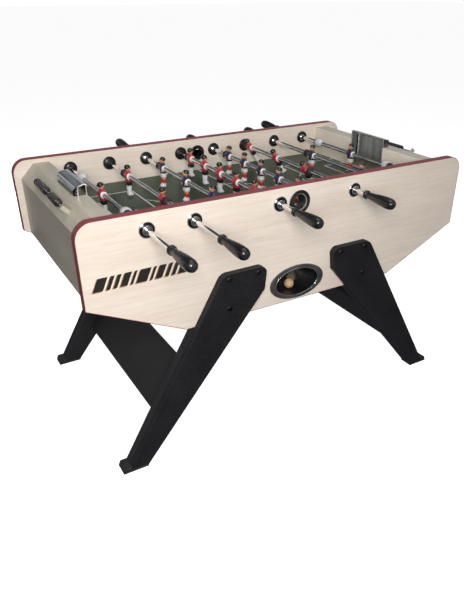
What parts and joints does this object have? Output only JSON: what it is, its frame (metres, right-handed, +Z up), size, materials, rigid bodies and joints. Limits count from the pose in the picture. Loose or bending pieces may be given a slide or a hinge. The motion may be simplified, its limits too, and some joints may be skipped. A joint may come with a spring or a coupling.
{
  "type": "foosball table",
  "caption": "Table football game: cabinet on splayed board legs, telescopic player rods that slide and spin, bead scorers, chrome goal hoods and an oval ball return.",
  "frame": {"origin": "on the floor under the middle of the table", "axes": "+X along the table's length towards the right-hand goal seen from the front, -Y towards the front with the oval ball return, +Z up"},
  "size_m": [1.46, 1.376, 0.894],
  "materials": {
    "laminate": "pale maple-effect laminate, satin",
    "shelf_laminate": "greige laminate, satin",
    "edging": "burgundy plastic edging, semi-gloss",
    "field": "dark green playing surface with white lines, gloss",
    "chrome": "polished chrome",
    "bright_steel": "bright drawn steel",
    "hood_metal": "polished sheet metal",
    "black_plastic": "moulded black plastic",
    "leg_laminate": "anthracite speckled laminate, matt",
    "foot_plastic": "black moulded plastic",
    "bolt_steel": "black oxide, satin",
    "red_team": "painted moulded plastic: black hair, crimson shirt, black shorts, white legs",
    "navy_team": "painted moulded plastic: black hair, navy shirt, white shorts, red socks",
    "rubber_black": "black rubber",
    "keeper_stop": "white plastic stop with a black rubber ring",
    "grip_black": "black moulded grip, satin with a glossy cap",
    "bead_black": "black plastic beads, gloss",
    "cork": "cork-coloured ball, matt"
  },
  "bodies": {
    "cabinet": {"front_panel": "laminate", "back_panel": "laminate", "edge_bands": "edging", "end_caps": "shelf_laminate", "goal_walls": "laminate", "playfield": "field", "cabinet_base": "shelf_laminate", "goal_hoods": "hood_metal", "ball_cups": "black_plastic", "rod_bearings": "chrome", "inner_discs": "black_plastic", "scorer_rods": "bright_steel", "leg_outer_boards": "leg_laminate", "leg_inner_boards": "leg_laminate", "leg_braces": "leg_laminate", "leg_feet": "foot_plastic", "leg_bolts": "bolt_steel"},
    "spindle_1": {"inner_rod_1": "bright_steel"},
    "rod_1": {"rod_tube_1": "chrome", "men_1": "red_team", "bumpers_1": "keeper_stop", "grip_1": "grip_black"},
    "spindle_2": {"inner_rod_2": "bright_steel"},
    "rod_2": {"rod_tube_2": "chrome", "men_2": "red_team", "bumpers_2": "rubber_black", "grip_2": "grip_black"},
    "spindle_3": {"inner_rod_3": "bright_steel"},
    "rod_3": {"rod_tube_3": "chrome", "men_3": "navy_team", "bumpers_3": "rubber_black", "grip_3": "grip_black"},
    "spindle_4": {"inner_rod_4": "bright_steel"},
    "rod_4": {"rod_tube_4": "chrome", "men_4": "red_team", "bumpers_4": "rubber_black", "grip_4": "grip_black"},
    "spindle_5": {"inner_rod_5": "bright_steel"},
    "rod_5": {"rod_tube_5": "chrome", "men_5": "navy_team", "bumpers_5": "rubber_black", "grip_5": "grip_black"},
    "spindle_6": {"inner_rod_6": "bright_steel"},
    "rod_6": {"rod_tube_6": "chrome", "men_6": "red_team", "bumpers_6": "rubber_black", "grip_6": "grip_black"},
    "spindle_7": {"inner_rod_7": "bright_steel"},
    "rod_7": {"rod_tube_7": "chrome", "men_7": "navy_team", "bumpers_7": "rubber_black", "grip_7": "grip_black"},
    "spindle_8": {"inner_rod_8": "bright_steel"},
    "rod_8": {"rod_tube_8": "chrome", "men_8": "navy_team", "bumpers_8": "keeper_stop", "grip_8": "grip_black"},
    "beads_left": {"scorer_beads_left": "bead_black"},
    "beads_right": {"scorer_beads_right": "bead_black"},
    "loose_ball": {"ball": "cork"}
  },
  "joints": [
    {"name": "rod_1_spin", "type": "hinge", "parent": "cabinet", "child": "spindle_1", "pos_m": [-0.525, 0, 0.824], "axis": [0, 1, 0], "continuous": true},
    {"name": "rod_1_slide", "type": "slide", "parent": "spindle_1", "child": "rod_1", "axis": [0, 1, 0], "range_m": [-0.104, 0.116]},
    {"name": "rod_2_spin", "type": "hinge", "parent": "cabinet", "child": "spindle_2", "pos_m": [-0.375, 0, 0.824], "axis": [0, 1, 0], "continuous": true},
    {"name": "rod_2_slide", "type": "slide", "parent": "spindle_2", "child": "rod_2", "axis": [0, 1, 0], "range_m": [-0.152, 0.152]},
    {"name": "rod_3_spin", "type": "hinge", "parent": "cabinet", "child": "spindle_3", "pos_m": [-0.225, 0, 0.824], "axis": [0, 1, 0], "continuous": true},
    {"name": "rod_3_slide", "type": "slide", "parent": "spindle_3", "child": "rod_3", "axis": [0, 1, 0], "range_m": [-0.099, 0.123]},
    {"name": "rod_4_spin", "type": "hinge", "parent": "cabinet", "child": "spindle_4", "pos_m": [-0.075, 0, 0.824], "axis": [0, 1, 0], "continuous": true},
    {"name": "rod_4_slide", "type": "slide", "parent": "spindle_4", "child": "rod_4", "axis": [0, 1, 0], "range_m": [-0.092, 0.056]},
    {"name": "rod_5_spin", "type": "hinge", "parent": "cabinet", "child": "spindle_5", "pos_m": [0.075, 0, 0.824], "axis": [0, 1, 0], "continuous": true},
    {"name": "rod_5_slide", "type": "slide", "parent": "spindle_5", "child": "rod_5", "axis": [0, 1, 0], "range_m": [-0.049, 0.099]},
    {"name": "rod_6_spin", "type": "hinge", "parent": "cabinet", "child": "spindle_6", "pos_m": [0.225, 0, 0.824], "axis": [0, 1, 0], "continuous": true},
    {"name": "rod_6_slide", "type": "slide", "parent": "spindle_6", "child": "rod_6", "axis": [0, 1, 0], "range_m": [-0.213, 0.009]},
    {"name": "rod_7_spin", "type": "hinge", "parent": "cabinet", "child": "spindle_7", "pos_m": [0.375, 0, 0.824], "axis": [0, 1, 0], "continuous": true},
    {"name": "rod_7_slide", "type": "slide", "parent": "spindle_7", "child": "rod_7", "axis": [0, 1, 0], "range_m": [-0.064, 0.24]},
    {"name": "rod_8_spin", "type": "hinge", "parent": "cabinet", "child": "spindle_8", "pos_m": [0.525, 0, 0.824], "axis": [0, 1, 0], "continuous": true},
    {"name": "rod_8_slide", "type": "slide", "parent": "spindle_8", "child": "rod_8", "axis": [0, 1, 0], "range_m": [-0.116, 0.104]},
    {"name": "beads_left_slide", "type": "slide", "parent": "cabinet", "child": "beads_left", "axis": [0, 1, 0], "range_m": [-0.065, 0.006]},
    {"name": "beads_right_slide", "type": "slide", "parent": "cabinet", "child": "beads_right", "axis": [0, 1, 0], "range_m": [-0.051, 0.073]},
    {"name": "ball_out", "type": "slide", "parent": "cabinet", "child": "loose_ball", "axis": [0, -1, 0], "range_m": [0, 0.12]}
  ]
}
